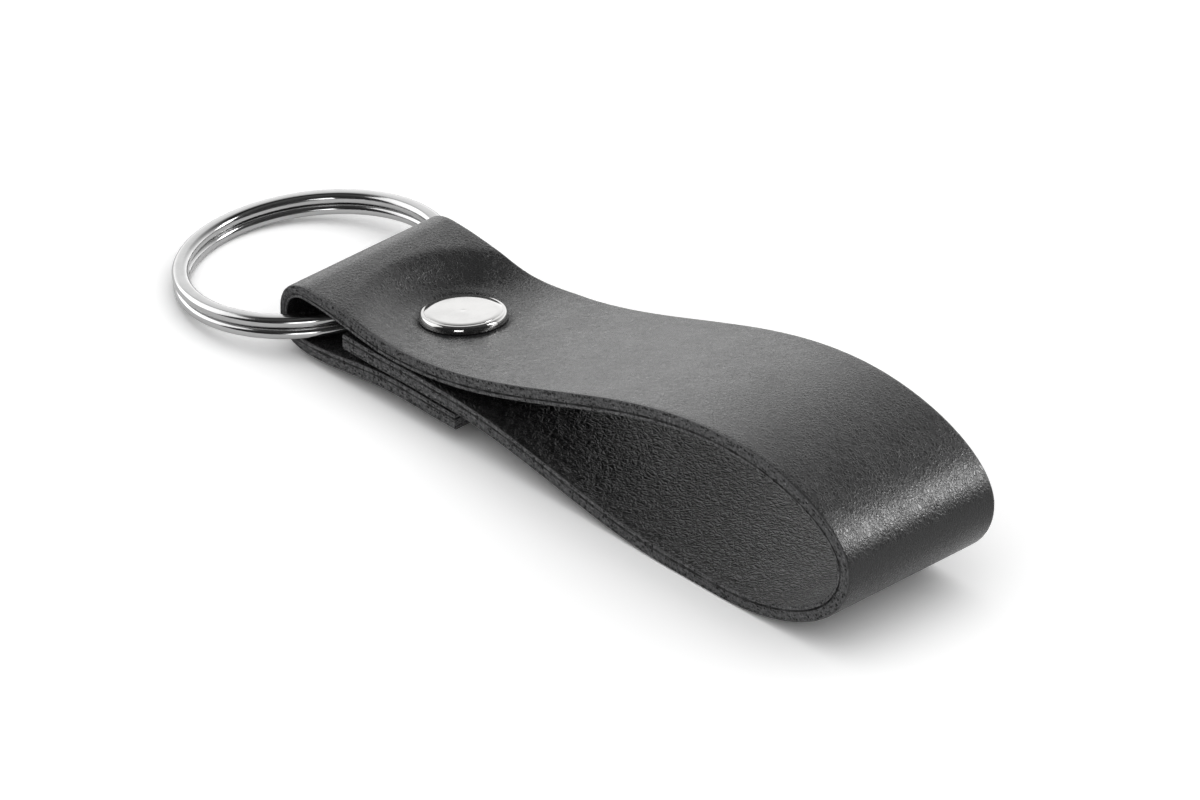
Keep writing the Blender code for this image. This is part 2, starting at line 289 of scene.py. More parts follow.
def ramp(tree, value, low, high, start=0.0, end=1.0, smooth=True):
    """Maps a value from one span to another, held at both ends."""
    made = node(tree, "ShaderNodeMapRange", {"Value": value, "From Min": low, "From Max": high,
                                             "To Min": start, "To Max": end})
    made.interpolation_type = "SMOOTHSTEP" if smooth else "LINEAR"
    return made.outputs["Result"]


def blended(tree, share, one, other, kind="FLOAT"):
    """Mixes two numbers, or two vectors or colours."""
    # The mixing node numbers its sockets by kind: the two values and the result
    first, second, result = {"FLOAT": (2, 3, 0), "VECTOR": (4, 5, 1), "RGBA": (6, 7, 2)}[kind]
    made = node(tree, "ShaderNodeMix", {0: share, first: one, second: other}, data_type=kind)
    return made.outputs[result]


def blended_colour(tree, share, one, other):
    return blended(tree, share, one, other, "RGBA")


def noise(tree, vector, scale, detail=2.0, roughness=0.5):
    made = node(tree, "ShaderNodeTexNoise", {"Vector": vector, "Scale": scale, "Detail": detail,
                                             "Roughness": roughness})
    return made.outputs[0]


def cells(tree, vector, scale, **settings):
    """A pattern of uneven cells."""
    return node(tree, "ShaderNodeTexVoronoi", {"Vector": vector, "Scale": scale, "Randomness": 1.0}, **settings)


def new_group(name, kind, inputs, outputs):
    """A node group with named sockets, and its input and output nodes."""
    tree = bpy.data.node_groups.new(name, kind)
    for label, socket_type, default in inputs:
        made = tree.interface.new_socket(label, in_out="INPUT", socket_type=socket_type)
        if default is not None:
            made.default_value = default
    for label, socket_type in outputs:
        tree.interface.new_socket(label, in_out="OUTPUT", socket_type=socket_type)
    return tree, tree.nodes.new("NodeGroupInput").outputs, tree.nodes.new("NodeGroupOutput").inputs


FLOAT = "NodeSocketFloat"
INTEGER = "NodeSocketInt"
VECTOR = "NodeSocketVector"
OBJECT = "NodeSocketObject"
GEOMETRY = "NodeSocketGeometry"
MATERIAL = "NodeSocketMaterial"


# Effects shared by the finishes


def grain_group():
    """Leather grain: uneven cells with narrow creases between them, smaller cells inside and fine pores."""
    tree, given, out = new_group("Leather grain", "ShaderNodeTree", [
        ("Vector", VECTOR, None), ("Cell Size", FLOAT, 0.5 * MM), ("Crease Width", FLOAT, 0.3),
        ("Pores", FLOAT, 0.3)], [("Height", FLOAT), ("Creases", FLOAT)])
    count = calc(tree, "DIVIDE", 1.0, given["Cell Size"])
    wander = node(tree, "ShaderNodeTexNoise", {
        "Vector": given["Vector"], "Scale": calc(tree, "MULTIPLY", count, CELL_WANDER_SCALE),
        "Detail": 3.0}).outputs["Color"]
    wander = vector_calc(tree, "SUBTRACT", wander, (0.5, 0.5, 0.5))
    place = vector_calc(tree, "ADD", given["Vector"],
                        scaled(tree, wander, calc(tree, "MULTIPLY", given["Cell Size"], CELL_WANDER)))
    pebbles, pimples = (
        ramp(tree, cells(tree, place, scale, feature="DISTANCE_TO_EDGE").outputs["Distance"],
             0.0, given["Crease Width"])
        for scale in (count, calc(tree, "MULTIPLY", count, SMALL_CELLS)))
    pores = noise(tree, place, calc(tree, "MULTIPLY", count, PORE_SCALE), detail=3.0, roughness=0.65)
    patchy = noise(tree, given["Vector"], calc(tree, "MULTIPLY", count, DEPTH_PATCH_SCALE))
    depth = ramp(tree, patchy, *DEPTH_PATCH_SPAN, SHALLOW_DEPTH, 1.0)
    height = calc(tree, "MULTIPLY", calc(tree, "MULTIPLY_ADD", pimples, SMALL_CELL_SHARE, pebbles), depth)
    feed(tree, out["Height"], calc(tree, "MULTIPLY_ADD", pores, given["Pores"], height))
    feed(tree, out["Creases"], calc(tree, "MULTIPLY", calc(tree, "SUBTRACT", 1.0, pebbles), depth))
    return tree


def fibre_group():
    """Cut leather edge: matted fibres, open pits painted dark as shade, and pale fibre ends that crowd into rows
    under each skin.
    """
    tree, given, out = new_group("Cut edge fibres", "ShaderNodeTree", [
        ("Vector", VECTOR, None), ("Depth", FLOAT, 0.5), ("Fibre Length", FLOAT, 0.8 * MM),
        ("Fibre Height", FLOAT, 0.22 * MM), ("Pit Spacing", FLOAT, 0.34 * MM), ("Pale Share", FLOAT, 0.1)],
        [("Height", FLOAT), ("Tone", FLOAT), ("Pale Ends", FLOAT)])

    def row(middle, faded, full):
        return ramp(tree, calc(tree, "ABSOLUTE", calc(tree, "SUBTRACT", given["Depth"], middle)), faded, full)

    along, up, _ = parts_of(tree, given["Vector"])
    square = combined(tree, along, up)
    place = combined(tree, calc(tree, "DIVIDE", along, given["Fibre Length"]),
                     calc(tree, "DIVIDE", up, given["Fibre Height"]))
    mat = ramp(tree, noise(tree, place, 1.0, detail=4.0, roughness=0.7), *FIBRE_CONTRAST)
    tuft_scale = calc(tree, "DIVIDE", TUFTS_PER_PIT, given["Pit Spacing"])
    tufts = ramp(tree, noise(tree, square, tuft_scale, detail=3.0, roughness=0.75), *FIBRE_CONTRAST)
    rows = calc(tree, "MULTIPLY_ADD", row(*INNER_ROW), INNER_ROW_SHARE, row(*OUTER_ROW))

    holes = cells(tree, square, calc(tree, "DIVIDE", 1.0, given["Pit Spacing"])).outputs
    chance, other, _ = parts_of(tree, holes["Color"])
    open_here = calc(tree, "LESS_THAN", chance, calc(tree, "MULTIPLY_ADD", rows, ROW_PIT_CHANCE, PIT_CHANCE))
    pits = calc(tree, "MULTIPLY", ramp(tree, holes["Distance"], *PIT_FADE), open_here)
    crowding = calc(tree, "MULTIPLY_ADD", rows, ROW_PALE_CHANCE, PALE_CHANCE)
    pale = calc(tree, "LESS_THAN", other, calc(tree, "MULTIPLY", given["Pale Share"], crowding))
    pale = calc(tree, "MULTIPLY", ramp(tree, holes["Distance"], *PALE_FADE), pale)
    pale = calc(tree, "MULTIPLY", pale, calc(tree, "SUBTRACT", 1.0, pits))
    both = calc(tree, "MULTIPLY_ADD", tufts, TUFT_SHARE, calc(tree, "MULTIPLY", mat, 1.0 - TUFT_SHARE))
    feed(tree, out["Height"], calc(tree, "SUBTRACT", both, pits))
    # Tone is the fibres' own tone, darkened in the pits as painted shade
    feed(tree, out["Tone"], calc(tree, "MULTIPLY", both, calc(tree, "MULTIPLY_ADD", pits, -PAINTED_PIT_SHADE, 1.0)))
    feed(tree, out["Pale Ends"], pale)
    return tree


def pucker_group():
    """Fine gathers in the leather that run out from under the rivet's cap."""
    tree, given, out = new_group("Rivet puckers", "ShaderNodeTree", [
        ("Vector", VECTOR, None), ("Rim", FLOAT, CAP_RADIUS), ("Reach", FLOAT, 3.5 * MM),
        ("Folds", FLOAT, 5.0)], [("Height", FLOAT), ("Mask", FLOAT)])
    x, y, _ = parts_of(tree, given["Vector"])
    flat = combined(tree, x, y)
    distance = length(tree, flat)
    round_rivet = scaled(tree, vector_calc(tree, "NORMALIZE", flat), given["Folds"])
    drift = combined(tree, z=calc(tree, "MULTIPLY", distance, PUCKER_DRIFT))
    folds = noise(tree, vector_calc(tree, "ADD", round_rivet, drift), 1.0, detail=3.0, roughness=0.6)
    mask = ramp(tree, distance, calc(tree, "ADD", given["Rim"], given["Reach"]), given["Rim"])
    feed(tree, out["Height"], calc(tree, "MULTIPLY", folds, mask))
    feed(tree, out["Mask"], mask)
    return tree


def wear_group():
    """Handling marks on polished plate: hairlines in crossing directions and faint smears."""
    tree, given, out = new_group("Handling wear", "ShaderNodeTree", [
        ("Vector", VECTOR, None), ("Hairline Spacing", FLOAT, 0.4 * MM), ("Smear Size", FLOAT, 4.0 * MM)],
        [("Height", FLOAT), ("Smears", FLOAT)])
    lines = None
    for turn in HAIRLINE_TURNS:
        turned = node(tree, "ShaderNodeVectorRotate", {"Vector": given["Vector"], "Angle": turn},
                      rotation_type="Z_AXIS").outputs[0]
        stretched = vector_calc(tree, "MULTIPLY", turned, HAIRLINE_STRETCH)
        made = noise(tree, stretched, calc(tree, "DIVIDE", 1.0, given["Hairline Spacing"]), roughness=0.6)
        made = ramp(tree, made, *HAIRLINE_SPAN)
        lines = made if lines is None else calc(tree, "MAXIMUM", lines, made)
    smears = noise(tree, given["Vector"], calc(tree, "DIVIDE", 1.0, given["Smear Size"]), detail=4.0, roughness=0.6)
    feed(tree, out["Height"], lines)
    feed(tree, out["Smears"], smears)
    return tree


# Finishes


def new_finish(name):
    """A material with an empty shader, its tree and its object coordinates."""
    made = bpy.data.materials.new(name)
    made.use_nodes = True
    tree = made.node_tree
    shader = tree.nodes["Principled BSDF"]
    coordinates = tree.nodes.new("ShaderNodeTexCoord")
    return made, tree, shader, coordinates.outputs["Object"]


def attribute(tree, name):
    return node(tree, "ShaderNodeAttribute", attribute_name=name, attribute_type="GEOMETRY").outputs


def effect(tree, group, **inputs):
    made = node(tree, "ShaderNodeGroup")
    made.node_tree = group
    for name, value in inputs.items():
        feed(tree, made.inputs[name.replace("_", " ").title()], value)
    return made.outputs


def ply_coordinates(tree):
    """Metres along and across the strap."""
    along, across, _ = parts_of(tree, node(tree, "ShaderNodeUVMap", uv_map="strap_uv").outputs[0])
    return along, across


def bump(tree, distance, **sockets):
    """A bump whose full depth is a set distance."""
    made = node(tree, "ShaderNodeBump", {name.title(): value for name, value in sockets.items()})
    made.inputs["Distance"].default_value = distance
    return made.outputs[0]


def skin_finish(name, effects, colour, worn_colour, roughness, sheen, cell_size, cell_stretch, crease_width,
                grain_depth, seed):
    """Dyed leather skin: its grain, a little handling and the rivet's puckers, plain where it turns to the cut."""
    made, tree, shader, place = new_finish(name)
    along, across = ply_coordinates(tree)
    cut = attribute(tree, "cut")["Fac"]

    face = combined(tree, calc(tree, "DIVIDE", along, cell_stretch), across, seed)
    grain = effect(tree, effects["grain"], vector=face, cell_size=cell_size, crease_width=crease_width,
                   pores=PORE_DEPTH)
    broad = noise(tree, face, HANDLED_SCALE, detail=3.0)
    from_rivet = vector_calc(tree, "SUBTRACT", place, tuple(RIVET))
    puckers = effect(tree, effects["puckers"], vector=from_rivet)

    dyed = blended_colour(tree, calc(tree, "MULTIPLY", grain["Creases"], CREASE_WEAR), worn_colour, colour)
    feed(tree, shader.inputs["Base Color"], blended_colour(tree, cut, dyed, CORNER_COLOUR))
    dulled = calc(tree, "ADD", roughness, ramp(tree, broad, *HANDLED_SPAN, *HANDLED_DULLNESS))
    dulled = calc(tree, "MULTIPLY_ADD", grain["Creases"], CREASE_DULLNESS, dulled)
    feed(tree, shader.inputs["Roughness"], blended(tree, cut, dulled, BURNISHED_ROUGHNESS))
    shader.inputs["IOR"].default_value = sheen

    skin = bump(tree, grain_depth, strength=calc(tree, "SUBTRACT", 1.0, cut), height=grain["Height"])
    gathers = bump(tree, PUCKER_DEPTH, strength=puckers["Mask"], height=puckers["Height"], normal=skin)
    feed(tree, shader.inputs["Normal"], gathers)
    return made


def cut_finish(name, effects, colour, ply_height):
    """Dyed cut edge of one ply: matted fibres and pits with painted shade in them, burnished under the skin, dark
    along the glue.
    """
    made, tree, shader, place = new_finish(name)
    along, across = ply_coordinates(tree)
    depth = attribute(tree, "depth")["Fac"]
    up = calc(tree, "MULTIPLY", depth, ply_height)
    run = calc(tree, "ADD", along, across)
    fibres = effect(tree, effects["fibres"], vector=combined(tree, run, up), depth=depth, pale_share=PALE_SHARE)

    dark, burnished = (tuple(c * share for c in colour[:3]) + (1.0,) for share in (DARK_SHARE, BURNISHED_SHARE))
    # The dark end of the tone is both the fibres' own darker dye and the painted shade in the pits
    raw = blended_colour(tree, fibres["Tone"], dark, colour)
    raw = blended_colour(tree, calc(tree, "MULTIPLY", fibres["Pale Ends"], PALE_STRENGTH), raw, PALE_COLOUR)
    burnish = ramp(tree, depth, *BURNISH_FADE)
    raw = blended_colour(tree, burnish, raw, burnished)
    glue_patches = noise(tree, combined(tree, run), GLUE_PATCH_SCALE, detail=3.0)
    glue = ramp(tree, glue_patches, *GLUE_PATCH_SPAN, FAINT_GLUE, 1.0)
    glue = calc(tree, "MULTIPLY", glue, ramp(tree, parts_of(tree, place)[0], *FOLD_GLUE_FADE, FOLD_GLUE, 1.0))
    seam = calc(tree, "MULTIPLY", ramp(tree, up, *GLUE_FADE), glue)
    feed(tree, shader.inputs["Base Color"], blended_colour(tree, seam, raw, GLUE_COLOUR))
    feed(tree, shader.inputs["Roughness"], blended(tree, burnish, CUT_ROUGHNESS, BURNISHED_ROUGHNESS))
    shader.inputs["IOR"].default_value = CUT_IOR
    matted = bump(tree, CUT_DEPTH, strength=calc(tree, "SUBTRACT", 1.0, burnish), height=fibres["Height"])
    feed(tree, shader.inputs["Normal"], matted)
    return made


def plated_finish(name, effects, colour, roughness, hairline_depth):
    """Polished plate with handling marks."""
    made, tree, shader, place = new_finish(name)
    wear = effect(tree, effects["wear"], vector=place)
    shader.inputs["Metallic"].default_value = 1.0
    smears = wear["Smears"]
    dull = tuple(c * SMEARED_COLOUR for c in colour[:3]) + (1.0,)
    feed(tree, shader.inputs["Base Color"],
         blended_colour(tree, ramp(tree, smears, *SMEAR_COLOUR_SPAN), colour, dull))
    feed(tree, shader.inputs["Roughness"],
         ramp(tree, smears, *SMEAR_DULLNESS_SPAN, roughness, roughness + SMEAR_DULLNESS))
    feed(tree, shader.inputs["Normal"],
         bump(tree, hairline_depth, height=wear["Height"], strength=HAIRLINE_STRENGTH))
    return made


# Trees that shape the pieces


def painted(tree, geometry, finish):
    """The geometry as one mesh in one finish."""
    real = node(tree, "GeometryNodeRealizeInstances", {"Geometry": geometry}).outputs[0]
    return node(tree, "GeometryNodeSetMaterial", {"Geometry": real, "Material": finish}).outputs[0]


def captured(tree, geometry, **fields):
    """The geometry, carrying each named field as it stands there: a field is its kind and its value."""
    kept = tree.nodes.new("GeometryNodeCaptureAttribute")
    for label, (kind, _) in fields.items():
        kept.capture_items.new(kind, label.title())
    feed(tree, kept.inputs["Geometry"], geometry)
    for label, (_, value) in fields.items():
        feed(tree, kept.inputs[label.title()], value)
    return kept.outputs


def position(tree):
    return tree.nodes.new("GeometryNodeInputPosition").outputs[0]


def swept_along(tree, curve, section):
    return node(tree, "GeometryNodeCurveToMesh", {"Curve": curve, "Profile Curve": section,
                                                  "Fill Caps": True}).outputs[0]


def section_of(tree, section):
    """The section's curve, and its points as they were drawn."""
    info = node(tree, "GeometryNodeObjectInfo", {"Object": section}).outputs["Geometry"]
    kept = captured(tree, info, drawn=("VECTOR", position(tree)))
    return kept["Geometry"], kept["Drawn"]


def ply_tree():
    """One ply of the strap, swept along the route and pressed flat and square under the leaning rivet."""
    tree, given, out = new_group("Strap ply", "GeometryNodeTree", [
        ("Geometry", GEOMETRY, None), ("Section", OBJECT, None), ("Step", FLOAT, STATION_STEP),
        ("Side", FLOAT, 1.0), ("Glue Line", FLOAT, GLUE_LINE), ("Thickness", FLOAT, OUTER_PLY),
        ("Width", FLOAT, STRAP_WIDTH), ("Squeeze", FLOAT, SQUEEZE), ("Rivet", VECTOR, tuple(RIVET)),
        ("Rise Along", FLOAT, 0.0), ("Fall Across", FLOAT, 0.0), ("Rim Share", FLOAT, RIM_SHARE),
        ("Rim Radius", FLOAT, RIM_RADIUS), ("Rim Width", FLOAT, RIM_WIDTH), ("Dip Start", FLOAT, DIP_START),
        ("Dip Reach", FLOAT, DIP_REACH), ("Fold Crowding", FLOAT, FOLD_CROWDING),
        ("Tail Seat", FLOAT, 0.0), ("Middle Seat", FLOAT, 0.0), ("Top Seat", FLOAT, 0.0),
        ("Waviness", FLOAT, WAVINESS), ("Knife Wander", FLOAT, KNIFE_WANDER),
        ("Finish", MATERIAL, None), ("Cut Finish", MATERIAL, None)], [("Geometry", GEOMETRY)])

    even = node(tree, "GeometryNodeResampleCurve", {"Curve": given["Geometry"], "Length": given["Step"]},
                mode="LENGTH").outputs[0]
    parameter = tree.nodes.new("GeometryNodeSplineParameter").outputs
    kept = captured(tree, even, place=("VECTOR", position(tree)),
                    heading=("VECTOR", tree.nodes.new("GeometryNodeInputTangent").outputs[0]),
                    share=("FLOAT", tree.nodes.new("GeometryNodeInputRadius").outputs[0]),
                    along=("FLOAT", parameter["Length"]))
    section, drawn = section_of(tree, given["Section"])
    swept = swept_along(tree, kept["Geometry"], section)

    across, height, _ = parts_of(tree, drawn)
    heading_x, _, heading_z = parts_of(tree, kept["Heading"])
    outward = vector_calc(tree, "NORMALIZE",
                          combined(tree, heading_z, 0.0, calc(tree, "MULTIPLY", heading_x, -1.0)))
    away = scaled(tree, outward, given["Side"])
    half_glue = calc(tree, "MULTIPLY", given["Glue Line"], 0.5)
    place = vector_calc(tree, "ADD", kept["Place"], scaled(tree, away, half_glue))
    wave_place = vector_calc(tree, "ADD", kept["Place"], combined(tree, y=across))
    wave = calc(tree, "SUBTRACT", noise(tree, wave_place, WAVE_SCALE), 0.5)

    x, _, z = parts_of(tree, place)
    from_rivet = calc(tree, "SUBTRACT", x, parts_of(tree, given["Rivet"])[0])
    radius = length(tree, combined(tree, from_rivet, across))
    route_z = parts_of(tree, kept["Place"])[2]
    above_tail, above_middle = (
        calc(tree, "GREATER_THAN", route_z, TAIL_LIFT + OUTER_SIDE + LAYER_PITCH * layers)
        for layers in (0.5, TOP_LAYER_START))
    crowded = calc(tree, "MINIMUM", calc(tree, "MULTIPLY", from_rivet, given["Fold Crowding"]), from_rivet)
    wide_radius = length(tree, combined(tree, crowded, across))
    rim = ramp(tree, radius, calc(tree, "ADD", given["Rim Radius"], given["Rim Width"]), given["Rim Radius"])
    dip = ramp(tree, wide_radius, given["Dip Reach"], given["Dip Start"])
    pressed = blended(tree, given["Rim Share"], dip, rim)
    seat = blended(tree, above_tail, given["Tail Seat"], given["Middle Seat"])
    seat = blended(tree, above_middle, seat, given["Top Seat"])
    seat = calc(tree, "MULTIPLY_ADD", from_rivet, given["Rise Along"], seat)
    seat = calc(tree, "SUBTRACT", seat, calc(tree, "MULTIPLY", across, given["Fall Across"]))
    away_z = parts_of(tree, away)[2]
    seat = calc(tree, "MULTIPLY_ADD", away_z, half_glue, seat)
    lowered = blended(tree, pressed, z, seat)

    square = combined(tree, calc(tree, "MULTIPLY", given["Rise Along"], -1.0), given["Fall Across"], 1.0)
    square = scaled(tree, vector_calc(tree, "NORMALIZE", square), calc(tree, "SIGN", away_z))
    stand = vector_calc(tree, "NORMALIZE", blended(tree, pressed, away, square, "VECTOR"))
    share = blended(tree, pressed, kept["Share"], given["Squeeze"])

    half = calc(tree, "MULTIPLY", given["Width"], 0.5)
    side = ramp(tree, calc(tree, "ABSOLUTE", across), calc(tree, "SUBTRACT", half, GRAIN_CORNER), half)
    wander = calc(tree, "SUBTRACT", noise(tree, wave_place, KNIFE_SCALE, detail=3.0), 0.5)
    wander = calc(tree, "MULTIPLY", calc(tree, "MULTIPLY", wander, given["Knife Wander"]),
                  calc(tree, "MULTIPLY", side, calc(tree, "SIGN", across)))
    settled = combined(tree, x, calc(tree, "ADD", across, wander), lowered)
    free = calc(tree, "MULTIPLY", calc(tree, "SUBTRACT", 1.0, pressed), ramp(tree, route_z, *WAVE_FADE))
    waving = calc(tree, "MULTIPLY", calc(tree, "MULTIPLY", wave, given["Waviness"]), free)
    settled = vector_calc(tree, "ADD", settled, scaled(tree, outward, waving))
    settled = vector_calc(tree, "ADD", settled, scaled(tree, stand, calc(tree, "MULTIPLY", height, share)))
    shaped = node(tree, "GeometryNodeSetPosition", {"Geometry": swept, "Position": settled}).outputs[0]

    flat_normal = node(tree, "GeometryNodeFieldOnDomain", data_type="FLOAT_VECTOR", domain="FACE")
    feed(tree, flat_normal.inputs[0], tree.nodes.new("GeometryNodeInputNormal").outputs[0])
    end_face = calc(tree, "ABSOLUTE", dot(tree, flat_normal.outputs[0], kept["Heading"]))
    cut = calc(tree, "MAXIMUM", ramp(tree, side, *CUT_FADE), ramp(tree, end_face, *END_FADE))
    for label, kind, domain, value in (
            ("cut", "FLOAT", "CORNER", cut),
            ("depth", "FLOAT", "POINT", calc(tree, "DIVIDE", height, given["Thickness"])),
            ("strap_uv", "FLOAT2", "CORNER", combined(tree, kept["Along"], across))):
        shaped = node(tree, "GeometryNodeStoreNamedAttribute", {"Geometry": shaped, "Name": label, "Value": value},
                      data_type=kind, domain=domain).outputs[0]
    smooth = node(tree, "GeometryNodeSetShadeSmooth", {"Geometry": shaped, "Shade Smooth": True}).outputs[0]
    stored = node(tree, "GeometryNodeInputNamedAttribute", {"Name": "cut"}, data_type="FLOAT").outputs["Attribute"]
    trimmed = node(tree, "GeometryNodeSetMaterial", {
        "Geometry": painted(tree, smooth, given["Finish"]), "Selection": calc(tree, "GREATER_THAN", stored, 0.5),
        "Material": given["Cut Finish"]}).outputs[0]
    feed(tree, out["Geometry"], trimmed)
    return tree


def wound_wire_tree():
    """Rounded wire wound twice, with the climb between the coils and eased wire ends."""
    tree, given, out = new_group("Wound wire", "GeometryNodeTree", [
        ("Geometry", GEOMETRY, None), ("Section", OBJECT, None), ("Middle Radius", FLOAT, 14.0 * MM),
        ("Coil Rise", FLOAT, 1.1 * MM), ("Start Angle", FLOAT, 0.0), ("End Angle", FLOAT, 12.0),
        ("Climb Start", FLOAT, 6.0), ("Climb Angle", FLOAT, 0.3), ("Stations", INTEGER, 900),
        ("Eased End", FLOAT, 0.5 * MM), ("Centre", VECTOR, None), ("Tilt", VECTOR, None),
        ("Finish", MATERIAL, None)], [("Geometry", GEOMETRY)])
    line = node(tree, "GeometryNodeCurvePrimitiveLine").outputs[0]
    stations = node(tree, "GeometryNodeResampleCurve", {"Curve": line, "Count": given["Stations"]}).outputs[0]
    share = tree.nodes.new("GeometryNodeSplineParameter").outputs["Factor"]
    turn = blended(tree, share, given["Start Angle"], given["End Angle"])
    climb = ramp(tree, turn, given["Climb Start"], calc(tree, "ADD", given["Climb Start"], given["Climb Angle"]))
    rise = calc(tree, "MULTIPLY", calc(tree, "SUBTRACT", climb, 0.5), given["Coil Rise"])
    radial = combined(tree, calc(tree, "COSINE", turn), calc(tree, "SINE", turn))
    coil = vector_calc(tree, "ADD", scaled(tree, radial, given["Middle Radius"]), combined(tree, z=rise))
    wound = node(tree, "GeometryNodeSetPosition", {"Geometry": stations, "Position": coil}).outputs[0]
    parameter = tree.nodes.new("GeometryNodeSplineParameter").outputs
    kept = captured(tree, wound, coil=("VECTOR", position(tree)), along=("FLOAT", parameter["Length"]),
                    share=("FLOAT", parameter["Factor"]))
    section, drawn = section_of(tree, given["Section"])
    swept = swept_along(tree, kept["Geometry"], section)

    # The wire's whole length is its length so far over its share so far, which is kept off zero
    along = kept["Along"]
    share = calc(tree, "MAXIMUM", kept["Share"], 0.000001)
    remaining = calc(tree, "MULTIPLY", calc(tree, "SUBTRACT", calc(tree, "DIVIDE", 1.0, share), 1.0), along)
    to_end = calc(tree, "MINIMUM", along, remaining)
    short = ramp(tree, to_end, 0.0, given["Eased End"], 1.0, 0.0, smooth=False)
    eased = calc(tree, "MULTIPLY", calc(tree, "MULTIPLY", short, short), WIRE_END_EASE)
    full = calc(tree, "SQRT", calc(tree, "SUBTRACT", 1.0, eased))
    band, height, _ = parts_of(tree, drawn)
    heading = vector_calc(tree, "NORMALIZE", vector_calc(tree, "MULTIPLY", kept["Coil"], (1.0, 1.0, 0.0)))
    place = vector_calc(tree, "ADD", kept["Coil"], scaled(tree, heading, calc(tree, "MULTIPLY", band, full)))
    place = vector_calc(tree, "ADD", place, combined(tree, z=calc(tree, "MULTIPLY", height, full)))
    shaped = node(tree, "GeometryNodeSetPosition", {"Geometry": swept, "Position": place}).outputs[0]
    smooth = node(tree, "GeometryNodeSetShadeSmooth", {"Geometry": shaped, "Shade Smooth": True}).outputs[0]
    set_down = node(tree, "GeometryNodeTransform", {"Geometry": smooth, "Translation": given["Centre"],
                                                    "Rotation": given["Tilt"]}).outputs[0]
    feed(tree, out["Geometry"], painted(tree, set_down, given["Finish"]))
    return tree


def placed(name, data):
    """A new object with this data, in the scene."""
    made = bpy.data.objects.new(name, data)
    bpy.context.scene.collection.objects.link(made)
    return made


def evaluated_mesh(thing, name):
    """What a thing's modifiers make of it, as a plain mesh."""
    graph = bpy.context.evaluated_depsgraph_get()
    mesh = bpy.data.meshes.new_from_object(thing.evaluated_get(graph), preserve_all_data_layers=True,
                                           depsgraph=graph)
    mesh.name = name
    return mesh


def finished_mesh(name, build):
    mesh = bpy.data.meshes.new(name)
    build.to_mesh(mesh)
    build.free()
    return mesh


def shape(data, tree, name, **inputs):
    """Runs a tree on some starting data and keeps the result as a plain mesh piece."""
    carrier = placed(name + "_carrier", data)
    modifier = carrier.modifiers.new("shape", "NODES")
    modifier.node_group = tree
    names = {item.name: item.identifier for item in tree.interface.items_tree if item.in_out == "INPUT"}
    for label, value in inputs.items():
        modifier[names[label.replace("_", " ").title()]] = value
    mesh = evaluated_mesh(carrier, name)
    bpy.data.objects.remove(carrier, do_unlink=True)
    return placed(name, mesh)


# Curves that the trees follow


def poly_curve(name, points, cyclic):
    data = bpy.data.curves.new(name, "CURVE")
    data.dimensions = "3D"
    spline = data.splines.new("POLY")
    spline.points.add(len(points) - 1)
    for point, (x, y) in zip(spline.points, points):
        point.co = (x, y, 0.0, 1.0)
    spline.use_cyclic_u = cyclic
    made = placed(name, data)
    made.hide_render = True
    return made


def arc(start, end, steps):
    """Angles in radians from one heading in degrees to another, both included."""
    return [math.radians(start + (end - start) * step / steps) for step in range(steps + 1)]


def corner(x, y, radius, start, sides):
    """Points round a quarter circle, clockwise from a heading in degrees."""
    return [(x + radius * math.cos(a), y + radius * math.sin(a)) for a in arc(start, start - 90.0, sides)]


def between(start, end, step):
    """Evenly spaced points strictly between two points."""
    count = max(1, round((Vector(end) - Vector(start)).length / step))
    return [tuple(Vector(start).lerp(Vector(end), index / count)) for index in range(1, count)]


def ply_section(thickness, radius):
    """A ply's section: across the strap, and up from the glue line to a rounded outer face."""
    half = STRAP_WIDTH / 2
    points = corner(-half + radius, thickness - radius, radius, 180.0, CORNER_SIDES)
    points += between(points[-1], (half - radius, thickness), ACROSS_STEP)
    points += corner(half - radius, thickness - radius, radius, 90.0, CORNER_SIDES)
    points += between(points[-1], (half, 0.0), thickness / SECTION_RISES)
    points += [(half, 0.0)]
    points += between((half, 0.0), (-half, 0.0), ACROSS_STEP)
    points += [(-half, 0.0)]
    points += between((-half, 0.0), (-half, thickness - radius), thickness / SECTION_RISES)
    return points


def wire_section():
    half_band = RING_BAND / 2 - WIRE_CORNER
    half_height = WIRE_HEIGHT / 2 - WIRE_CORNER
    points = []
    for x, y, start in ((-half_band, half_height, 180.0), (half_band, half_height, 90.0),
                        (half_band, -half_height, 0.0), (-half_band, -half_height, -90.0)):
        points += corner(x, y, WIRE_CORNER, start, WIRE_CORNER_SIDES)
    return points


def route_knots():
    """Glue line from the strap's ring end to its tail: x, z, heading, handle share, thickness share."""
    tail = TAIL_LIFT + OUTER_SIDE
    middle = tail + LAYER_PITCH
    top = TAIL_LIFT + 2 * LAYER_PITCH + LINING_SIDE
    fold_side = OUTER_PLY * SKIVE + BOND_LINE / 2
    nose_side = OUTER_PLY * SKIVE_NOSE + BOND_LINE / 2
    right, up, left, down = (1, 0), (0, 1), (-1, 0), (0, -1)
    return [
        (-RING_END_SETBACK, middle, right, 0.33, 1.0),
        (RAMP_START, middle, right, 0.36, 1.0),
        (FLOOR_START, OUTER_SIDE, right, 0.33, 1.0),
        (FLOOR_START + FLOOR_LENGTH, OUTER_SIDE, right, 0.56, 1.0),
        (LOOP_REACH - OUTER_SIDE, LOOP_NOSE_HEIGHT, up, 0.54, 1.0),
        (LOOP_REACH - CREST_SETBACK, LOOP_HEIGHT - OUTER_SIDE, left, 0.34, 1.0),
        (0.0, top, left, 0.36, 1.0),
        (FOLD_TOP_SETBACK - FOLD_REACH, FOLD_TOP - fold_side, left, 0.6, SKIVE),
        (nose_side - FOLD_REACH, FOLD_NOSE_HEIGHT, down, 0.7, SKIVE_NOSE),
        (FOLD_BOTTOM_SETBACK - FOLD_REACH, FOLD_UNDERSIDE + fold_side, right, 0.36, SKIVE),
        (0.0, tail, right, 0.33, 1.0),
        (TAIL_LENGTH, tail, right, 0.33, 1.0),
    ]


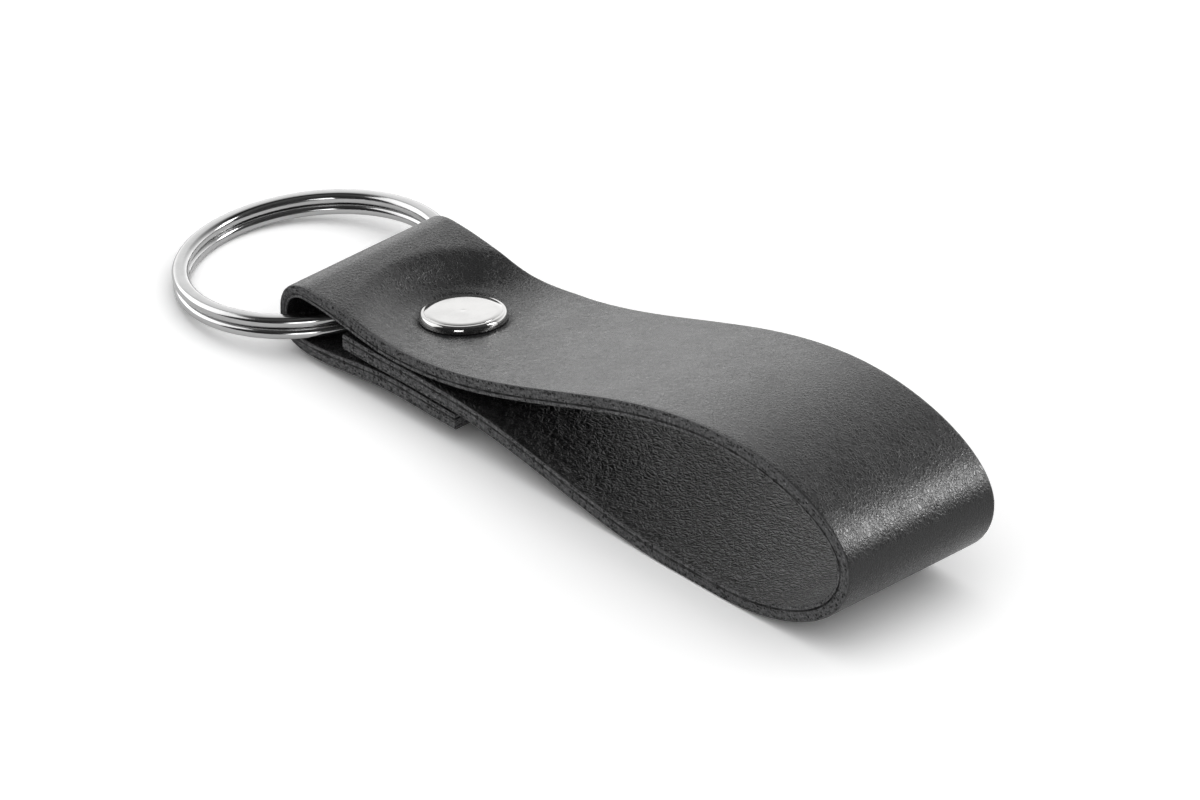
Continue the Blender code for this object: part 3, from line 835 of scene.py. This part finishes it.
def strap_route():
    """The route as one smooth curve with its own handles; its radius is the share of full thickness."""
    knots = route_knots()
    data = bpy.data.curves.new("strap_route", "CURVE")
    data.dimensions = "3D"
    data.resolution_u = ROUTE_RESOLUTION
    spline = data.splines.new("BEZIER")
    spline.bezier_points.add(len(knots) - 1)
    for index, (x, z, heading, _, thickness) in enumerate(knots):
        point = spline.bezier_points[index]
        spot = Vector((RIVET.x + x, 0.0, z))
        towards = Vector((heading[0], 0.0, heading[1]))
        point.co = spot
        point.radius = thickness
        point.handle_left_type = point.handle_right_type = "FREE"
        point.handle_left = point.handle_right = spot
        for neighbour in (index - 1, index + 1):
            if 0 <= neighbour < len(knots):
                share = knots[min(index, neighbour)][3]
                span = Vector((knots[neighbour][0] - x, 0.0, knots[neighbour][1] - z))
                reach = towards * abs(span.dot(towards)) * share
                if neighbour > index:
                    point.handle_right = spot + reach
                else:
                    point.handle_left = spot - reach
    return data


# Pieces


def glue_seat(layer):
    """Height at the rivet's axis of a squeezed layer's glue line."""
    underside = RIVET.z - GRIP / 2 + layer * (SQUEEZED_LAYER + LAYER_GAP)
    lower_ply = LINING_PLY if layer == 2 else OUTER_PLY
    return underside + lower_ply * SQUEEZE + BOND_LINE / 2


def rivet_lean():
    return Matrix.Translation(RIVET) @ Euler((-RIVET_ROLL, -RIVET_PITCH, 0.0)).to_matrix().to_4x4()


def hole_cutter():
    """A drill along the rivet's axis, through all three layers."""
    build = bmesh.new()
    bmesh.ops.create_cone(build, cap_ends=True, segments=HOLE_SIDES, radius1=HOLE_RADIUS, radius2=HOLE_RADIUS,
                          depth=3 * GRIP, matrix=rivet_lean())
    cutter = placed("rivet_hole", finished_mesh("rivet_hole", build))
    cutter.hide_render = True
    return cutter


def strap_ply(name, tree, side, thickness, radius, finish, edge_finish, cutter):
    section = poly_curve(name + "_section", ply_section(thickness, radius), True)
    piece = shape(strap_route(), tree, name, section=section, side=side, thickness=thickness,
                  rise_along=math.tan(RIVET_PITCH), fall_across=math.tan(RIVET_ROLL) / math.cos(RIVET_PITCH),
                  tail_seat=glue_seat(0), middle_seat=glue_seat(1), top_seat=glue_seat(2), finish=finish,
                  cut_finish=edge_finish)
    bpy.data.objects.remove(section, do_unlink=True)
    hole = piece.modifiers.new("rivet hole", "BOOLEAN")
    hole.operation = "DIFFERENCE"
    hole.solver = "EXACT"
    hole.object = cutter
    trimmed = piece.modifiers.new("trimmed edges", "BEVEL")
    trimmed.width = TRIMMED_CORNER
    trimmed.segments = 2
    trimmed.limit_method = "ANGLE"
    trimmed.angle_limit = TRIMMED_ANGLE
    mesh = evaluated_mesh(piece, name)
    piece.modifiers.clear()
    piece.data = mesh
    return piece


def cap_profile():
    """Pressed cap above its seat: dimple, flat, stepped rim and rounded shoulder, then its inside."""
    shoulder_start = CAP_RADIUS - CAP_SHOULDER_WIDTH
    rim = CAP_HEIGHT - CAP_STEP_DROP
    inside = CAP_RADIUS - CAP_SHEET
    points = [(0.0, CAP_HEIGHT - CAP_DIMPLE_DEPTH)]
    for step in range(1, CAP_DIMPLE_STEPS + 1):
        share = step / CAP_DIMPLE_STEPS
        points.append((CAP_DIMPLE_RADIUS * share,
                       CAP_HEIGHT - CAP_DIMPLE_DEPTH * (1 + math.cos(math.pi * share)) / 2))
    points += [(CAP_DIMPLE_RADIUS + (CAP_FLAT_RADIUS - CAP_DIMPLE_RADIUS) * step / CAP_FLAT_STEPS, CAP_HEIGHT)
               for step in range(1, CAP_FLAT_STEPS + 1)]
    points += [(CAP_FLAT_RADIUS + CAP_STEP * outward, CAP_HEIGHT - CAP_STEP * down)
               for outward, down in CAP_STEP_ROUNDING]
    for angle in arc(90, 0, steps=16):
        points.append((shoulder_start + CAP_SHOULDER_WIDTH * math.cos(angle),
                       rim - CAP_SHOULDER_DROP * (1 - math.sin(angle))))
    curl = CAP_SHEET / 2
    for angle in arc(0, -90, steps=6)[1:]:
        points.append((CAP_RADIUS - curl * CAP_CURL_REACH * (1 - math.cos(angle)), curl * (1 + math.sin(angle))))
    points += [(inside, 0.0), (CAP_RADIUS - CAP_LIP, 0.0), (CAP_RADIUS - CAP_LIP, CAP_SHEET), (inside, CAP_SHEET)]
    for angle in arc(0, 90, steps=8):
        points.append((shoulder_start + (CAP_SHOULDER_WIDTH - CAP_SHEET) * math.cos(angle),
                       rim - CAP_SHOULDER_DROP + (CAP_SHOULDER_DROP - CAP_SHEET) * math.sin(angle)))
    points.append((0.0, CAP_HEIGHT - CAP_SHEET))
    return points


def turned_cap(name, flip, finish):
    """A cap turned about the rivet's axis; flip hangs it under the leather."""
    build = bmesh.new()
    points = [build.verts.new((radius, 0.0, CAP_SEAT + height)) for radius, height in cap_profile()]
    for start, end in zip(points, points[1:]):
        build.edges.new((start, end))
    bmesh.ops.spin(build, geom=build.verts[:] + build.edges[:], cent=(0, 0, 0), axis=(0, 0, 1),
                   angle=2 * math.pi, steps=CAP_TURN_STEPS, use_merge=True)
    bmesh.ops.remove_doubles(build, verts=build.verts[:], dist=WELD_DISTANCE)
    if flip:
        bmesh.ops.transform(build, verts=build.verts[:], matrix=Matrix.Rotation(math.pi, 4, "X"))
    bmesh.ops.transform(build, verts=build.verts[:], matrix=rivet_lean())
    bmesh.ops.recalc_face_normals(build, faces=build.faces[:])
    for face in build.faces:
        face.smooth = True
    for edge in build.edges:
        edge.smooth = edge.calc_face_angle(0.0) < SHARP_ANGLE
    mesh = finished_mesh(name, build)
    mesh.materials.append(finish)
    return placed(name, mesh)


def wound_ring(name, tree, finish):
    section = poly_curve("wire_section", wire_section(), True)
    piece = shape(bpy.data.meshes.new(name + "_start"), tree, name, section=section,
                  middle_radius=RING_RADIUS - RING_BAND / 2, coil_rise=WIRE_HEIGHT + COIL_GAP,
                  start_angle=END_GAP_ANGLE, end_angle=4 * math.pi - STEP_ANGLE - END_GAP_ANGLE,
                  climb_start=2 * math.pi - STEP_ANGLE, climb_angle=STEP_ANGLE, centre=RING_CENTRE,
                  tilt=Vector((RING_ROLL, -RING_PITCH, 0.0)), finish=finish)
    bpy.data.objects.remove(section, do_unlink=True)
    return piece


# Table, lamps and camera

RIGHT = Vector((math.cos(CAMERA_AZIMUTH), math.sin(CAMERA_AZIMUTH), 0.0))
TOWARDS_CAMERA = Vector((math.sin(CAMERA_AZIMUTH), -math.cos(CAMERA_AZIMUTH), 0.0))


def direction(azimuth, elevation):
    """Heading from the object: azimuth 0 is straight behind it as photographed, 90 to its right."""
    a, e = math.radians(azimuth), math.radians(elevation)
    flat = -TOWARDS_CAMERA * math.cos(a) + RIGHT * math.sin(a)
    return flat * math.cos(e) + Vector((0, 0, 1)) * math.sin(e)


def softbox(name, azimuth, elevation, width, height, radiance):
    """Area lamp that faces the object and shows only in polish and sheen."""
    data = bpy.data.lights.new(name, "AREA")
    data.shape = "RECTANGLE"
    data.size, data.size_y = width, height
    data.energy = radiance * LAMP_POWER * width * height
    lamp = placed(name, data)
    heading = direction(azimuth, elevation)
    lamp.location = heading * SOFTBOX_DISTANCE
    lamp.rotation_mode = "QUATERNION"
    lamp.rotation_quaternion = heading.to_track_quat("Z", "Y")
    lamp.visible_diffuse = False


def table():
    build = bmesh.new()
    bmesh.ops.create_circle(build, cap_ends=True, segments=TABLE_SIDES, radius=TABLE_RADIUS)
    made = placed("table", finished_mesh("table", build))
    finish = bpy.data.materials.new("white_table")
    finish.use_nodes = True
    tree = finish.node_tree
    tree.nodes.clear()
    path = tree.nodes.new("ShaderNodeLightPath").outputs
    along = parts_of(tree, tree.nodes.new("ShaderNodeTexCoord").outputs["Object"])[0]
    # Polish sees the table darker from under the loop's nose outward: painted shade in its reflections
    shaded_mirror_level = ramp(tree, along, *MIRRORED_TABLE_SHADE_FADE, *MIRRORED_TABLE)
    level = blended(tree, path["Is Glossy Ray"], LIT_TABLE, shaded_mirror_level)
    level = blended(tree, path["Is Camera Ray"], level, SEEN_TABLE)
    shown = node(tree, "ShaderNodeBsdfDiffuse", {"Color": combined(tree, level, level, level)}).outputs[0]
    node(tree, "ShaderNodeOutputMaterial", {"Surface": shown})
    made.data.materials.append(finish)


def studio():
    """Even tent light for the matt surfaces; polish mirrors a bright wall behind that darkens overhead."""
    world = bpy.data.worlds.new("studio")
    bpy.context.scene.world = world
    world.use_nodes = True
    tree = world.node_tree
    tree.nodes.clear()
    look = node(tree, "ShaderNodeTexCoord").outputs["Generated"]
    height = parts_of(tree, look)[2]
    behind = dot(tree, look, tuple(-TOWARDS_CAMERA))
    wall = calc(tree, "ADD", ramp(tree, height, *WALL_SPAN, WALL_RADIANCE, 0.0, smooth=False),
                ramp(tree, height, *SKIRTING_SPAN, SKIRTING_RADIANCE, 0.0, smooth=False))
    dim = ramp(tree, behind, *FRONT_SPAN, *FRONT_RADIANCE)
    room = blended(tree, ramp(tree, behind, *BACK_SPAN), dim, wall)
    path = tree.nodes.new("ShaderNodeLightPath").outputs
    tent = calc(tree, "MAXIMUM", dot(tree, look, tuple(direction(TENT_AZIMUTH, TENT_ELEVATION))), 0.0)
    tent = calc(tree, "MULTIPLY", calc(tree, "POWER", tent, TENT_FALLOFF), TENT_RADIANCE)
    matt = blended(tree, path["Is Camera Ray"], tent, 1.0)
    level = blended(tree, path["Is Glossy Ray"], matt, room)
    lit = node(tree, "ShaderNodeBackground", {"Color": (1.0, 1.0, 1.0, 1.0), "Strength": level}).outputs[0]
    node(tree, "ShaderNodeOutputWorld", {"Surface": lit})
    softbox("right_softbox", azimuth=91.0, elevation=32.5, width=0.3, height=0.54, radiance=8.2)
    softbox("front_window", azimuth=193.0, elevation=10.0, width=0.46, height=0.44, radiance=2.9)
    softbox("left_softbox", azimuth=291.0, elevation=28.0, width=1.33, height=0.97, radiance=1.2)


def camera():
    data = bpy.data.cameras.new("camera")
    data.lens = CAMERA_LENS
    data.sensor_width = SENSOR_WIDTH
    data.clip_start, data.clip_end = CAMERA_CLIP
    made = placed("camera", data)
    back = TOWARDS_CAMERA * math.cos(CAMERA_ELEVATION) + Vector((0, 0, 1)) * math.sin(CAMERA_ELEVATION)
    made.location = CAMERA_TARGET + back * CAMERA_DISTANCE
    made.rotation_mode = "QUATERNION"
    made.rotation_quaternion = back.to_track_quat("Z", "Y")
    bpy.context.scene.camera = made


def main():
    bpy.context.scene.view_settings.view_transform = "Standard"
    effects = {"grain": grain_group(), "fibres": fibre_group(), "puckers": pucker_group(), "wear": wear_group()}
    grain = skin_finish("black_grain_leather", effects, colour=(0.008, 0.008, 0.0085, 1.0),
                        worn_colour=(0.015, 0.015, 0.0155, 1.0), roughness=0.22, sheen=1.8, cell_size=0.32 * MM,
                        cell_stretch=1.5, crease_width=0.27, grain_depth=0.018 * MM, seed=0.0)
    lining = skin_finish("black_lining_leather", effects, colour=(0.002, 0.002, 0.002, 1.0),
                         worn_colour=(0.008, 0.008, 0.0083, 1.0), roughness=0.33, sheen=1.43, cell_size=0.62 * MM,
                         cell_stretch=1.1, crease_width=0.28, grain_depth=0.105 * MM, seed=0.3)
    grain_edge = cut_finish("cut_grain_leather", effects, (0.19, 0.19, 0.193, 1.0), OUTER_PLY)
    lining_edge = cut_finish("cut_lining_leather", effects, (0.22, 0.22, 0.223, 1.0), LINING_PLY)
    nickel = plated_finish("polished_nickel", effects, (0.5, 0.496, 0.49, 1.0), roughness=0.06,
                           hairline_depth=0.002 * MM)
    steel = plated_finish("plated_spring_steel", effects, (0.5, 0.5, 0.5, 1.0), roughness=0.1,
                          hairline_depth=0.002 * MM)
    brass = plated_finish("drawn_brass", effects, (0.62, 0.5, 0.28, 1.0), roughness=0.28,
                          hairline_depth=0.004 * MM)

    ply = ply_tree()
    cutter = hole_cutter()
    outer = strap_ply("strap_grain_side", ply, 1.0, OUTER_PLY, GRAIN_CORNER, grain, grain_edge, cutter)
    inner = strap_ply("strap_lining_side", ply, -1.0, LINING_PLY, LINING_CORNER, lining, lining_edge, cutter)
    bpy.data.objects.remove(cutter, do_unlink=True)
    top_cap = turned_cap("rivet_cap_top", False, nickel)
    bottom_cap = turned_cap("rivet_cap_bottom", True, nickel)
    ring = wound_ring("split_ring_wire", wound_wire_tree(), steel)

    for piece, body, stands_for, slot in (
            (outer, "strap", "strap_outer", "grain_leather"), (inner, "strap", "strap_lining", "lining_leather"),
            (top_cap, "strap", "rivet_top_cap", "rivet_nickel"),
            (bottom_cap, "strap", "rivet_bottom_cap", "rivet_nickel"), (ring, "ring", "split_ring", "ring_steel")):
        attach(piece, body)
        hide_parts(stands_for)
    for name in ("rivet_post", "rivet_socket"):
        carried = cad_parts[name]
        carried.data.materials.clear()
        carried.data.materials.append(brass)

    table()
    studio()
    camera()


main()
